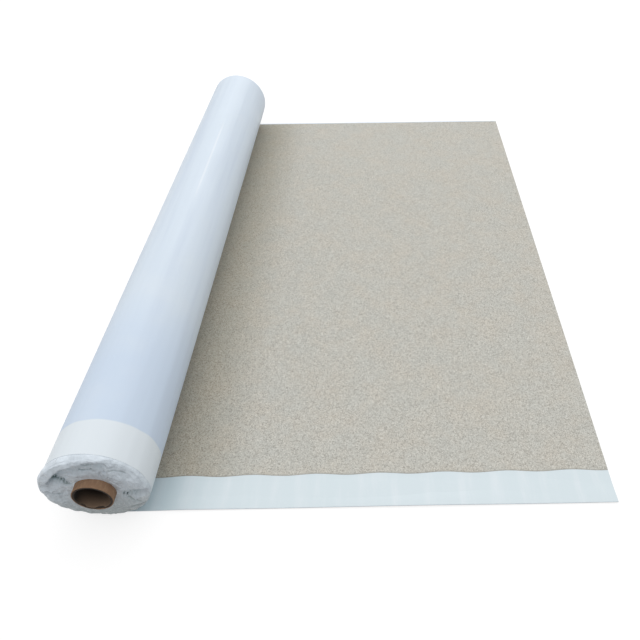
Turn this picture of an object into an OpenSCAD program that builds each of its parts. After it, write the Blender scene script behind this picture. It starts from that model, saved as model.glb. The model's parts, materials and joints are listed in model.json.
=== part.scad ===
// Roll of self-adhesive waterproofing membrane, partly rolled out on a floor.
// Millimetres. The roll lies along Y, the loose end runs out along +X, and the floor is z = 0.
// The origin is on the floor, at the middle of the whole object's outline.

/* [Sheet] */
// Width of the membrane, which is the length of the roll
sheet_width = 2000; // [1000:50:2400]
// Length of the whole sheet, as it is sold
stock_length = 20000; // [8000:500:30000]
// Length that is rolled out flat, from under the roll's axis to the cut end
laid_length = 1176; // [500:1:2000]
// Thickness of the white carrier film
film_thickness = 1.2; // [0.8:0.1:2]
// Thickness of the adhesive and sand that cover the film
sand_thickness = 0.6; // [0.4:0.05:1]
// Air between one turn and the next
winding_slack = 0.04; // [0.02:0.01:0.2]
// Bare film along the far edge, where the sand stops short
bare_margin = 8; // [2:1:30]

/* [Lap strip] */
// Width of the strip of adhesive that is kept free of sand for the side lap
lap_width = 90; // [60:1:150]
// Thickness of the adhesive and release film on the lap strip
lap_thickness = 0.35; // [0.2:0.05:0.4]
// Height of the waves in the border between lap strip and sand
wave_height = 2.2; // [0.5:0.1:8]
// Length of one wave of that border
wave_length = 155; // [100:5:500]

/* [Core] */
// Bore of the cardboard core
core_bore = 76; // [50:1:120]
// Wall of the cardboard core
core_wall = 6.5; // [3:0.5:12]
// Length of core that stands out at each end of the roll
core_overhang = 35; // [25:1:80]
// Radial gap between the core and the innermost turn
core_clearance = 0.2; // [0.1:0.05:0.5]

/* [Roll ends] */
// Depth of the open seam between the turns, seen on the ends of the roll
seam_depth = 3; // [1:0.5:8]

/* [End film] */
// How far the crumpled film swells out of the near end of the roll
film_swell = 12; // [6:1:24]
// How far the rolled lip of the upper flap stands out
lip_height = 17; // [8:1:24]
// Width of that lip, from the rim towards the core
lip_width = 16; // [8:1:24]
// How far the upper flap stands out behind its lip
flap_recess = 4; // [1:1:7]
// How far the upper flap stands out by the core
flap_collar = 10; // [8:1:13]
// Slope of the line across the core where the two flaps meet
flap_tilt = 18; // [0:1:45]
// How far the crumpled film stands out where it meets the core
film_collar = 14; // [4:1:20]
// Radial gap between the crumpled film and the core
collar_clearance = 0.3; // [0.1:0.1:2]
// Turns of the roll that show outside the crumpled film's rim
bare_turns = 1; // [1:1:6]

/* [Hidden] */
$fn = 128;

// One turn is the film, its coat and the slack. Equal areas give the radius of the wound sheet.
turn_pitch = film_thickness + sand_thickness + winding_slack;
core_radius = core_bore / 2 + core_wall;
seat_radius = core_radius + core_clearance;
roll_radius = sqrt(pow(seat_radius, 2) + turn_pitch * (stock_length - laid_length) / PI);

// The sheet is wound as half circles about two centres, half a turn's pitch apart, so each turn
// runs into the next. The left halves turn about the core, and the last one runs out flat.
left_radius = roll_radius;
right_radius = roll_radius - turn_pitch / 2;
right_lift = turn_pitch / 2;
seam_count = floor((roll_radius - seat_radius) / turn_pitch) - 1;
// The halves start inside the core's seat, which is then bored through both.
half_start = core_radius - turn_pitch;

// The axis of the roll, and the near edge of the sheet
axis_x = (roll_radius - laid_length) / 2;
axis_z = roll_radius;
near_y = -sheet_width / 2;

// The wavy border is a cosine of this many points a wave.
points_per_wave = 12;
border_count = ceil(laid_length / wave_length * points_per_wave);

// The end film runs from a rim inside the last turns to a collar round the core. The lip of its
// upper half is a half ellipse, and the lower half keeps a step inside that lip's edge.
film_rim = roll_radius - bare_turns * turn_pitch;
rim_step = 0.5;
lip_crown = film_rim - lip_width / 2;
lip_steps = 12;
film_collar_radius = core_radius + collar_clearance;
// Deeper than anything that stands out of the roll's end
clear_depth = film_swell + film_collar + lip_height;

// In the film's swell, a lean under 1 moves the highest point towards the rim, a fullness under 1
// makes it rounder, and the collar's power keeps the collar close to the core.
film_steps = 14;
swell_lean = 0.7;
swell_fullness = 0.8;
collar_power = 3;

function border(x) = lap_width + wave_height * cos(360 * x / wave_length);

border_line = [for (i = [0 : border_count]) let (x = laid_length * i / border_count) [x, border(x)]];

// The open seam inside turn k, counted from the outermost, on a half of that outer radius
function seam_outer(k, outer) = outer - k * turn_pitch - film_thickness;
function seam_inner(k, outer) = outer - (k + 1) * turn_pitch;

// Height of the film at a share s of the way from its rim to its collar
function swell(s) = film_swell * pow(sin(180 * pow(s, swell_lean)), swell_fullness)
    + film_collar * pow(s, collar_power);

module at_roll_axis() {
    translate([axis_x, near_y, axis_z]) rotate([-90, 0, 0]) children();
}

module on_laid_sheet(height) {
    translate([axis_x, near_y, height]) children();
}

// Half of the wound sheet, turned about the roll's axis, with the seams cut into both ends
module wound_half(outer, turn) {
    near_end = [for (k = [0 : seam_count - 1]) each [
        [seam_outer(k, outer), 0], [seam_outer(k, outer), seam_depth],
        [seam_inner(k, outer), seam_depth], [seam_inner(k, outer), 0]]];
    far_end = [for (k = [seam_count - 1 : -1 : 0]) each [
        [seam_inner(k, outer), sheet_width], [seam_inner(k, outer), sheet_width - seam_depth],
        [seam_outer(k, outer), sheet_width - seam_depth], [seam_outer(k, outer), sheet_width]]];
    rotate(turn) rotate_extrude(angle = 180)
        polygon(concat([[outer, 0]], near_end, [[half_start, 0], [half_start, sheet_width]],
            far_end, [[outer, sheet_width]]));
}

// The white film: every turn, the last one running off the bottom of the roll as the laid sheet
module membrane() {
    color("aliceblue") {
        difference() {
            union() {
                at_roll_axis() wound_half(left_radius, 90);
                translate([0, 0, right_lift]) at_roll_axis() wound_half(right_radius, -90);
            }
            at_roll_axis() translate([0, 0, -core_overhang])
                cylinder(h = sheet_width + 2 * core_overhang, r = seat_radius);
        }
        on_laid_sheet(0) cube([laid_length, sheet_width, film_thickness]);
    }
}

// Sand bonded to the laid sheet, from the nip under the roll to the cut end
module sand_coat() {
    color([0.75, 0.74, 0.70])
        on_laid_sheet(film_thickness) linear_extrude(sand_thickness)
            polygon(concat(border_line,
                [[laid_length, sheet_width - bare_margin], [0, sheet_width - bare_margin]]));
}

// Release film over the bare adhesive of the side lap
module lap_film() {
    color([0.84, 0.89, 0.91])
        on_laid_sheet(film_thickness) linear_extrude(lap_thickness)
            polygon(concat([[laid_length, 0], [0, 0]], border_line));
}

// Turns a profile over the upper half of the film, above the line where its flaps meet
module upper_half() {
    rotate(flap_tilt - 180) rotate_extrude(angle = 180) children();
}

// Spare film crumpled against the near end of the roll, round the core
module end_film() {
    lower_rim = film_rim - rim_step;
    pillow = [for (i = [0 : film_steps]) let (s = i / film_steps)
        [lower_rim + (film_collar_radius - lower_rim) * s, -swell(s)]];
    hollow = [[core_bore / 2, -flap_collar], [lip_crown, -flap_recess],
        [lip_crown, -clear_depth], [core_bore / 2, -clear_depth]];
    lip = [for (i = [0 : lip_steps]) let (lip_angle = 180 * i / lip_steps)
        [lip_crown + lip_width / 2 * cos(lip_angle), -lip_height * sin(lip_angle)]];
    color([0.80, 0.84, 0.87])
        at_roll_axis() {
            difference() {
                rotate_extrude() polygon(concat(pillow, [[film_collar_radius, 0]]));
                upper_half() polygon(hollow);
            }
            upper_half() polygon(lip);
        }
}

// Cardboard core, standing out of both ends of the roll
module core_tube() {
    color([0.55, 0.42, 0.32])
        at_roll_axis() translate([0, 0, -core_overhang])
            difference() {
                cylinder(h = sheet_width + 2 * core_overhang, r = core_radius);
                translate([0, 0, -core_overhang])
                    cylinder(h = sheet_width + 4 * core_overhang, d = core_bore);
            }
}

membrane();
sand_coat();
lap_film();
end_film();
core_tube();
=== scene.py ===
"""Looks of a roll of self-adhesive waterproofing membrane, partly rolled out on a pale floor.

Everything is in metres, in the part's own frame: the roll lies along Y with its near end at -Y, the
loose end runs out along +X, and the floor is z = 0.
"""

import json
import logging
import math
from abc import ABC, abstractmethod
from contextlib import contextmanager
from dataclasses import dataclass
from enum import Enum
from typing import Iterator, Sequence

import bmesh
import bpy
from mathutils import Matrix, Vector, noise


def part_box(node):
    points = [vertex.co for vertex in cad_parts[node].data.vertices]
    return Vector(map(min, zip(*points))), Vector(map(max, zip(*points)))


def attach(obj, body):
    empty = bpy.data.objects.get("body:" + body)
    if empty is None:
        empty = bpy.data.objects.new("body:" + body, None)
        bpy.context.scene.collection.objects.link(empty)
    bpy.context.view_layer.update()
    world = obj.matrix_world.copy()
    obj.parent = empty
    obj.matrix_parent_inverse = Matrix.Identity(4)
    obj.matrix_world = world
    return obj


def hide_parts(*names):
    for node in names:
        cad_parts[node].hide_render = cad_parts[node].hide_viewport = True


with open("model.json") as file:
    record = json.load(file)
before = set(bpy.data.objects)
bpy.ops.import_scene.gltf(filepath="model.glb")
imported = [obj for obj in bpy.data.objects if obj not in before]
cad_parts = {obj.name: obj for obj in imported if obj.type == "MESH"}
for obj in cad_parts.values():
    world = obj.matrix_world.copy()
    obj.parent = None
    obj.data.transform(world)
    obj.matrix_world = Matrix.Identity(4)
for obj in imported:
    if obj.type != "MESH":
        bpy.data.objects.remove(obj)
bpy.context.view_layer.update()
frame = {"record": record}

LOG = logging.getLogger("membrane_roll")
BODY = "root"
MM = 0.001
VALLEYS = "valleys"

# A screen's colours follow a power curve, with a straight start in the dark.
SCREEN_TOP = 255
SCREEN_DARK = 0.04045
SCREEN_DARK_SLOPE = 12.92
SCREEN_OFFSET = 0.055
SCREEN_POWER = 2.4

# Noise in a finish is about the middle value, and most of it lies between the other two.
NOISE_LOW = 0.3
NOISE_MIDDLE = 0.5
NOISE_HIGH = 0.7

Colour = tuple[float, float, float, float]
Spot = tuple[float, float]
Place = tuple[float, float, float]
Piece = bpy.types.Object
Socket = bpy.types.NodeSocket


class Slot(Enum):
    """Material slots of the part."""

    FILM = "white_film"
    SAND = "sand"
    LAP = "lap_film"
    END = "end_film"
    BOARD = "cardboard"


class Mix(Enum):
    """Sockets of a colour Mix node, by their number."""

    FACTOR = 0
    FIRST = 6
    SECOND = 7
    RESULT = 2


def linear(red: float, green: float, blue: float) -> Colour:
    """Turns a colour of 0 to 255, as seen on a screen, into the shader's linear light.

    Args:
        red: Red, 0 to 255.
        green: Green, 0 to 255.
        blue: Blue, 0 to 255.

    Returns:
        The linear colour, with an alpha of 1.
    """
    light = []
    for value in (red, green, blue):
        share = value / SCREEN_TOP
        bright = ((share + SCREEN_OFFSET) / (1 + SCREEN_OFFSET)) ** SCREEN_POWER
        light.append(share / SCREEN_DARK_SLOPE if share < SCREEN_DARK else bright)
    return (*light, 1.0)


def smooth_step(value: float, low: float, high: float) -> float:
    """Eases from 0 at low to 1 at high."""
    share = min(1.0, max(0.0, (value - low) / (high - low)))
    return share * share * (3 - 2 * share)


def curve_point(points: Sequence[Spot], share: float) -> Vector:
    """Finds a point on a smooth line through some points.

    Args:
        points: The points that the line runs through.
        share: How far along the line, from 0 to 1.

    Returns:
        The point there, as a 2-D vector.
    """
    last = len(points) - 1
    index = min(int(share * last), last - 1)
    part = share * last - index
    before, start = Vector(points[max(index - 1, 0)]), Vector(points[index])
    end, after = Vector(points[index + 1]), Vector(points[min(index + 2, last)])
    slope = end - before
    bend = 2 * before - 5 * start + 4 * end - after
    twist = 3 * start - before - 3 * end + after
    return start + (slope * part + bend * part ** 2 + twist * part ** 3) / 2


def deselect_all() -> None:
    """Deselects every object, so that an operator acts on the piece in hand alone."""
    bpy.ops.object.select_all(action="DESELECT")


def take_up(piece: Piece) -> None:
    """Selects a piece alone, as the one that operators act on.

    Args:
        piece: The piece.
    """
    deselect_all()
    piece.select_set(True)
    bpy.context.view_layer.objects.active = piece


@contextmanager
def editing(piece: Piece) -> Iterator[bmesh.types.BMesh]:
    """Holds a piece in edit mode.

    Args:
        piece: The piece to edit.

    Yields:
        The piece's mesh, open for selecting and moving its points.
    """
    take_up(piece)
    bpy.ops.object.mode_set(mode="EDIT")
    try:
        yield bmesh.from_edit_mesh(piece.data)
    finally:
        bpy.ops.object.mode_set(mode="OBJECT")


def face_outwards() -> None:
    """Turns all faces of the piece in edit mode outwards."""
    bpy.ops.mesh.select_all(action="SELECT")
    bpy.ops.mesh.normals_make_consistent(inside=False)


def add_grid(along: int, across: int) -> Piece:
    """Adds a flat grid with sides of 1 about the origin, to be shaped into a sheet.

    Args:
        along: Faces along X.
        across: Faces along Y.

    Returns:
        The new piece.
    """
    deselect_all()
    bpy.ops.mesh.primitive_grid_add(x_subdivisions=along, y_subdivisions=across, size=1.0)
    return bpy.context.object


def grid_shares(vert: bmesh.types.BMVert) -> Spot:
    """Finds how far along and across such a grid a point lies, from 0 to 1."""
    return vert.co.x + 0.5, vert.co.y + 0.5


def apply_modifier(piece: Piece, kind: str, **settings: object) -> None:
    """Adds a modifier to a piece and applies it.

    Args:
        piece: The piece to shape.
        kind: The modifier's type.
        settings: The modifier's settings.
    """
    modifier = piece.modifiers.new(kind.lower(), kind)
    for name, value in settings.items():
        setattr(modifier, name, value)
    take_up(piece)
    bpy.ops.object.modifier_apply(modifier=modifier.name)


def dress(piece: Piece, name: str, material: bpy.types.Material, crease: float) -> Piece:
    """Names, shades and colours a finished piece, and makes it move with the part.

    Args:
        piece: The finished piece.
        name: The piece's name.
        material: Its finish.
        crease: The angle, in degrees, past which an edge stays sharp.

    Returns:
        The same piece.
    """
    piece.name = name
    piece.data.name = name
    piece.data.materials.clear()
    piece.data.materials.append(material)
    take_up(piece)
    bpy.ops.object.shade_smooth_by_angle(angle=math.radians(crease))
    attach(piece, BODY)
    LOG.info("%s: %d faces", name, len(piece.data.polygons))
    return piece


@dataclass(frozen=True)
class Cloud:
    """A pattern of soft noise in a finish.

    Attributes:
        per_metre: Features to a metre along X, Y and Z.
        detail: Octaves.
        keep: Share that each octave keeps.
        low: Noise at which the pattern starts to show.
        high: Noise at which it shows most.
        share: How much it shows there.
    """

    per_metre: Place
    detail: float = 2.0
    keep: float = 0.5
    low: float = NOISE_LOW
    high: float = NOISE_HIGH
    share: float = 1.0


@dataclass(frozen=True)
class Relief:
    """How strongly a pattern stands out of a finish.

    Attributes:
        depth: What a height of 1 stands for.
        strength: Share of the relief that shows.
    """

    depth: float
    strength: float


class NodeTray:
    """The nodes of one tree."""

    def __init__(self, tree: bpy.types.NodeTree) -> None:
        """Takes a tree's nodes and links."""
        self.nodes = tree.nodes
        self.links = tree.links

    def add(self, kind: str, feeds: dict[str | int, object], **settings: object) -> bpy.types.Node:
        """Adds a node.

        Args:
            kind: The node's type.
            feeds: What each input takes: another node's output, or a plain value.
            settings: The node's own settings.

        Returns:
            The new node.
        """
        node = self.nodes.new(kind)
        for name, value in settings.items():
            setattr(node, name, value)
        for key, value in feeds.items():
            self.feed(node.inputs[key], value)
        return node

    def feed(self, socket: Socket, value: object) -> None:
        """Links an output to a socket, or sets the socket to a plain value.

        Args:
            socket: The input to feed.
            value: An output or a plain value.
        """
        if isinstance(value, Socket):
            self.links.new(value, socket)
        else:
            socket.default_value = value


class NodeBoard(NodeTray):
    """The nodes of one material, or of the light of the room."""

    def __init__(self, owner: bpy.types.Material | bpy.types.World, shader: str, place: str) -> None:
        """Starts a material or a world.

        Args:
            owner: The new material or world.
            shader: The shader that it starts with.
            place: The coordinates that its patterns follow.
        """
        owner.use_nodes = True
        super().__init__(owner.node_tree)
        self.owner = owner
        self.shader = self.nodes[shader]
        self.place = self.nodes.new("ShaderNodeTexCoord").outputs[place]
        self.clouds: dict[Cloud, Socket] = {}

    @classmethod
    def material(cls, name: str) -> "NodeBoard":
        """Starts a material, laid out on the piece's own coordinates."""
        return cls(bpy.data.materials.new(name), "Principled BSDF", "Object")

    def finish(self, **feeds: object) -> bpy.types.Material | bpy.types.World:
        """Feeds the shader.

        Args:
            feeds: What each of the shader's inputs takes, with _ for a space in its name.

        Returns:
            The material or world.
        """
        for name, value in feeds.items():
            self.feed(self.shader.inputs[name.replace("_", " ")], value)
        return self.owner

    def mapped(self, scale: Sequence[float], shift: Sequence[float] = (0, 0, 0)) -> Socket:
        """Moves and stretches the coordinates.

        Args:
            scale: Stretch along each axis.
            shift: Move along each axis, before the stretch.

        Returns:
            The new coordinates.
        """
        move = self.add("ShaderNodeVectorMath", {0: self.place, 1: shift}, operation="ADD")
        stretch = self.add("ShaderNodeVectorMath", {0: move.outputs[0], 1: scale}, operation="MULTIPLY")
        return stretch.outputs[0]

    def cloud(self, pattern: Cloud) -> Socket:
        """Finds a pattern's noise.

        Args:
            pattern: The pattern.

        Returns:
            The noise, from one node for all its uses.
        """
        if pattern not in self.clouds:
            feeds = {"Vector": self.mapped(pattern.per_metre), "Scale": 1.0, "Detail": pattern.detail,
                     "Roughness": pattern.keep}
            self.clouds[pattern] = self.add("ShaderNodeTexNoise", feeds).outputs["Fac"]
        return self.clouds[pattern]

    def shown(self, pattern: Cloud) -> Socket:
        """Finds how much of a pattern shows at a point."""
        return self.span(self.cloud(pattern), pattern.low, pattern.high, 0.0, pattern.share)

    def spread(self, pattern: Cloud, start: float, end: float) -> Socket:
        """Turns most of a pattern's noise into values from start to end."""
        return self.span(self.cloud(pattern), NOISE_LOW, NOISE_HIGH, start, end)

    def span(self, value: object, low: float, high: float, start: float = 0.0, end: float = 1.0) -> Socket:
        """Maps a value smoothly from the span of low to high onto that of start to end."""
        feeds = {"Value": value, "From Min": low, "From Max": high, "To Min": start, "To Max": end}
        return self.add("ShaderNodeMapRange", feeds, interpolation_type="SMOOTHSTEP").outputs["Result"]

    def sum(self, operation: str, first: object, second: object = 0.0) -> Socket:
        """Works out one sum, by the name of the Math node's operation."""
        return self.add("ShaderNodeMath", {0: first, 1: second}, operation=operation).outputs[0]

    def blend(self, share: object, first: object, second: object, kind: str = "MIX") -> Socket:
        """Mixes two colours, with a share of the second one."""
        feeds = {Mix.FACTOR.value: share, Mix.FIRST.value: first, Mix.SECOND.value: second}
        return self.add("ShaderNodeMix", feeds, data_type="RGBA", blend_type=kind).outputs[Mix.RESULT.value]

    def bump(self, height: Socket, relief: Relief, under: Socket | None = None) -> Socket:
        """Turns a height into relief.

        Args:
            height: Height, 0 to 1.
            relief: How strongly it stands out.
            under: Bent normal to add this relief to.

        Returns:
            The bent normal.
        """
        feeds = {"Height": height, "Distance": relief.depth, "Strength": relief.strength}
        if under is not None:
            feeds["Normal"] = under
        return self.add("ShaderNodeBump", feeds).outputs["Normal"]

    def radius(self, x: Socket, z: Socket) -> Socket:
        """Finds the distance from the Y axis."""
        squares = self.sum("ADD", self.sum("MULTIPLY", x, x), self.sum("MULTIPLY", z, z))
        return self.sum("SQRT", squares)

    def axes(self, place: Socket) -> Sequence[Socket]:
        """Splits coordinates into X, Y and Z."""
        return self.add("ShaderNodeSeparateXYZ", {0: place}).outputs

    def seen(self) -> Socket:
        """Tells whether a point is seen by the camera, in a reflection or through a clear piece.

        Returns:
            1 where it is, and 0 where only light falls on it.
        """
        path = self.add("ShaderNodeLightPath", {}).outputs
        bare = self.sum("MAXIMUM", path["Is Camera Ray"], path["Is Glossy Ray"])
        return self.sum("MAXIMUM", bare, path["Is Transmission Ray"])


@dataclass(frozen=True)
class StockSizes:
    """Main sizes of the stock, in metres.

    Attributes:
        axis_x: Where the roll's axis is.
        roll_radius: Radius of the roll, which is also the height of its axis.
        near_y: Near edge of the sheet.
        far_y: Far edge of the sheet.
        cut_x: Cut end of the laid sheet.
        film: Thickness of the carrier film.
        sand: Thickness of the sand coat.
        sand_far: Far edge of the sand.
        lap: Width of the lap strip.
        lap_film: Thickness of the lap strip's release film.
        wave_height: Height of the waves of the lap strip's border.
        core_radius: Outer radius of the core.
        bore_radius: Radius of its bore.
        core_near: Near end of the core.
        core_far: Far end of the core.
        slack: Air between turns.
        core_gap: Gap between the core and the first turn.
        wave_length: Length of the border's waves.
        edge_lift: How far the laid sheet's near edge lifts off the floor.
        edge_reach: Width of the sheet that lifts with it, and how far from the roll's axis it starts to.
        edge_full: How far from the axis that lift is full.
        edge_mean: Mean share of the lift along the edge.
        edge_swing: How far that share swings.
        edge_waves: Its waves to a metre.
    """

    axis_x: float
    roll_radius: float
    near_y: float
    far_y: float
    cut_x: float
    film: float
    sand: float
    sand_far: float
    lap: float
    lap_film: float
    wave_height: float
    core_radius: float
    bore_radius: float
    core_near: float
    core_far: float
    slack: float = 0.04 * MM
    core_gap: float = 0.2 * MM
    wave_length: float = 155 * MM
    edge_lift: float = 3.5 * MM
    edge_reach: float = 60 * MM
    edge_full: float = 180 * MM
    edge_mean: float = 0.8
    edge_swing: float = 0.5
    edge_waves: float = 3.1

    @classmethod
    def from_frame(cls) -> "StockSizes":
        """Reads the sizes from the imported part.

        Returns:
            The sizes.
        """
        sheet_low, sheet_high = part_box("membrane")
        sand_low, sand_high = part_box("sand_coat")
        lap_low, lap_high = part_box("lap_film")
        core_low, core_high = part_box("core_tube")
        bore = next(mount for mount in frame["record"]["mounts"] if mount["name"] == "core_bore")
        roll_radius = sheet_high.z / 2
        return cls(
            axis_x=sheet_low.x + roll_radius, roll_radius=roll_radius,
            near_y=sheet_low.y, far_y=sheet_high.y, cut_x=sheet_high.x,
            film=sand_low.z, sand=sand_high.z - sand_low.z, sand_far=sand_high.y,
            lap=(lap_high.y + sand_low.y) / 2 - sheet_low.y, lap_film=lap_high.z - lap_low.z,
            wave_height=(lap_high.y - sand_low.y) / 2,
            core_radius=(core_high.z - core_low.z) / 2, bore_radius=bore["dims"]["r_mm"] * MM,
            core_near=core_low.y, core_far=core_high.y)

    @property
    def pitch(self) -> float:
        """Thickness of one turn."""
        return self.film + self.sand + self.slack

    @property
    def width(self) -> float:
        """Width of the sheet."""
        return self.far_y - self.near_y

    @property
    def laid(self) -> float:
        """Length of sheet that lies flat."""
        return self.cut_x - self.axis_x

    @property
    def stock(self) -> float:
        """Length of the whole sheet: what lies flat, and the area of the roll's end over the pitch."""
        seat = self.core_radius + self.core_gap
        return self.laid + math.pi * (self.roll_radius ** 2 - seat ** 2) / self.pitch

    def border(self, x: float) -> float:
        """Finds the y of the wavy border between the lap strip and the sand, at x along the sheet."""
        wave = math.cos(math.tau * (x - self.axis_x) / self.wave_length)
        return self.near_y + self.lap + self.wave_height * wave

    def lift(self, x: float, y: float) -> float:
        """Finds how far the laid sheet lifts off the floor at a point by its near edge.

        Args:
            x: Where along the laid sheet.
            y: Where across it.

        Returns:
            The lift, which is 0 under the roll and away from the edge.
        """
        by_edge = 1 - smooth_step(y, self.near_y, self.near_y + self.edge_reach)
        past_roll = smooth_step(x, self.axis_x + self.edge_reach, self.axis_x + self.edge_full)
        wave = self.edge_mean + self.edge_swing * noise.noise(Vector((x * self.edge_waves, 0.0, 0.0)))
        return self.edge_lift * by_edge * past_roll * wave


@dataclass(frozen=True)
class PaintedRollShade:
    """Painted shade next to the roll, which fades out along the laid sheet.

    Attributes:
        tint: The painted shade, a colour that the surface's colour is multiplied by.
        full: How far from the roll's axis it is full.
        end: How far from the axis it ends.
    """

    tint: Colour
    full: float
    end: float

    def over(self, board: NodeBoard, colour: Socket, axis_x: float) -> Socket:
        """Lays the painted shade over a colour.

        Args:
            board: Board of the material.
            colour: The colour.
            axis_x: Where the roll's axis is.

        Returns:
            The colour, darkened by the painted shade.
        """
        along = board.axes(board.place)["X"]
        share = board.span(along, axis_x + self.full, axis_x + self.end, 1.0, 0.0)
        return board.blend(share, colour, self.tint, "MULTIPLY")


@dataclass(frozen=True)
class FilmFinish:
    """White carrier film: bluish over the sand behind it, whiter over the bare lap strip.

    Attributes:
        sizes: Sizes of the stock.
        over_sand: Colour where sand lies behind the film.
        over_lap: Colour along the lap strip.
        border_fade: Half the width over which one turns into the other.
        border_swing: How far their border wanders.
        border_wander: Pattern of that.
        bluer_shaded_by_lap: Colour by the lap strip: bluer film, and darker as painted shade of the roll's
            dim near end.
        tint: Share of that colour by the strip.
        tinted: Length along the roll over which it fades out.
        tint_full: Share of that length before it fades.
        streak: Colour of the soft streaks along the roll.
        streaks: Their pattern.
        blotches: Pattern of the whiter patches.
        line: Colour of the painted highlight, a pale line along the top of the roll.
        line_at: Share of the radius by which that painted highlight lies right of the axis.
        line_width: Half its width, as such a share.
        line_ends: Where it ends along the roll.
        line_share: Share of its colour in the middle.
        line_height: Height above the axis where it shows in full, as a share of the radius.
        roughness: Lowest and highest roughness.
        ripples: Pattern of the film's ripples.
        ripple_relief: Their relief.
    """

    sizes: StockSizes
    over_sand: Colour = linear(216, 228, 240)
    over_lap: Colour = linear(225, 233, 239)
    border_fade: float = 2.5 * MM
    border_swing: float = 2 * MM
    border_wander: Cloud = Cloud((9, 0, 9))
    bluer_shaded_by_lap: Colour = linear(200, 216, 236)
    tint: float = 0.7
    tinted: float = 0.5
    tint_full: float = 1 / 3
    streak: Colour = linear(198, 211, 228)
    streaks: Cloud = Cloud((22, 0.8, 22), detail=4, keep=0.55, low=0.42, high=0.78, share=0.55)
    blotches: Cloud = Cloud((7, 7, 7), detail=3, low=0.45, high=0.8, share=0.25)
    line: Colour = linear(238, 244, 250)
    line_at: float = 0.24
    line_width: float = 0.05
    line_ends: tuple[float, float] = (-0.05, 0.6)
    line_share: float = 0.5
    line_height: float = 0.5
    roughness: tuple[float, float] = (0.38, 0.55)
    ripples: Cloud = Cloud((60, 8, 60), detail=3)
    ripple_relief: Relief = Relief(0.4 * MM, 0.35)

    def material(self) -> bpy.types.Material:
        """Builds the material.

        Returns:
            The material.
        """
        board = NodeBoard.material("white_film")
        border = self.sizes.near_y + self.sizes.lap
        across = board.axes(board.place)["Y"]
        wander = board.spread(self.border_wander, -self.border_swing, self.border_swing)
        behind = board.span(board.sum("ADD", across, wander), border - self.border_fade,
                            border + self.border_fade)
        # Bluer film by the lap strip, darker too as painted shade of the roll's dim near end.
        tint = board.span(across, border + self.tinted * self.tint_full, border + self.tinted, self.tint, 0.0)
        behind_sand = board.blend(tint, self.over_sand, self.bluer_shaded_by_lap)
        # Painted highlight: a pale line along the top of the roll.
        plain = board.blend(self.painted_highlight_line(board), behind_sand, self.line)
        veiled = board.blend(board.shown(self.streaks), plain, self.streak)
        mottled = board.blend(board.shown(self.blotches), veiled, self.over_lap)
        colour = board.blend(behind, self.over_lap, mottled)
        return board.finish(Base_Color=colour, Roughness=board.spread(self.blotches, *self.roughness),
                            IOR=1.5, Specular_IOR_Level=0.3,
                            Normal=board.bump(board.cloud(self.ripples), self.ripple_relief))

    def painted_highlight_line(self, board: NodeBoard) -> Socket:
        """Works out how far a point lies on the painted highlight, a pale line along the top of the roll.

        Args:
            board: Board of the material.

        Returns:
            Share of the line's colour.
        """
        radius = self.sizes.roll_radius
        centred = board.mapped((1 / radius, 1, 1 / radius), (-self.sizes.axis_x, 0, -radius))
        x, y, z = board.axes(centred)
        off_line = board.sum("ABSOLUTE", board.sum("SUBTRACT", x, self.line_at))
        off_middle = board.sum("ABSOLUTE", board.sum("SUBTRACT", y, sum(self.line_ends) / 2))
        half = (self.line_ends[1] - self.line_ends[0]) / 2
        lengthwise = board.span(off_middle, half / 2, half, self.line_share, 0.0)
        bore_shaded = board.sum("MULTIPLY", board.span(off_line, 0.0, self.line_width, 1.0, 0.0), lengthwise)
        return board.sum("MULTIPLY", bore_shaded, board.span(z, 0.0, self.line_height))


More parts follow.
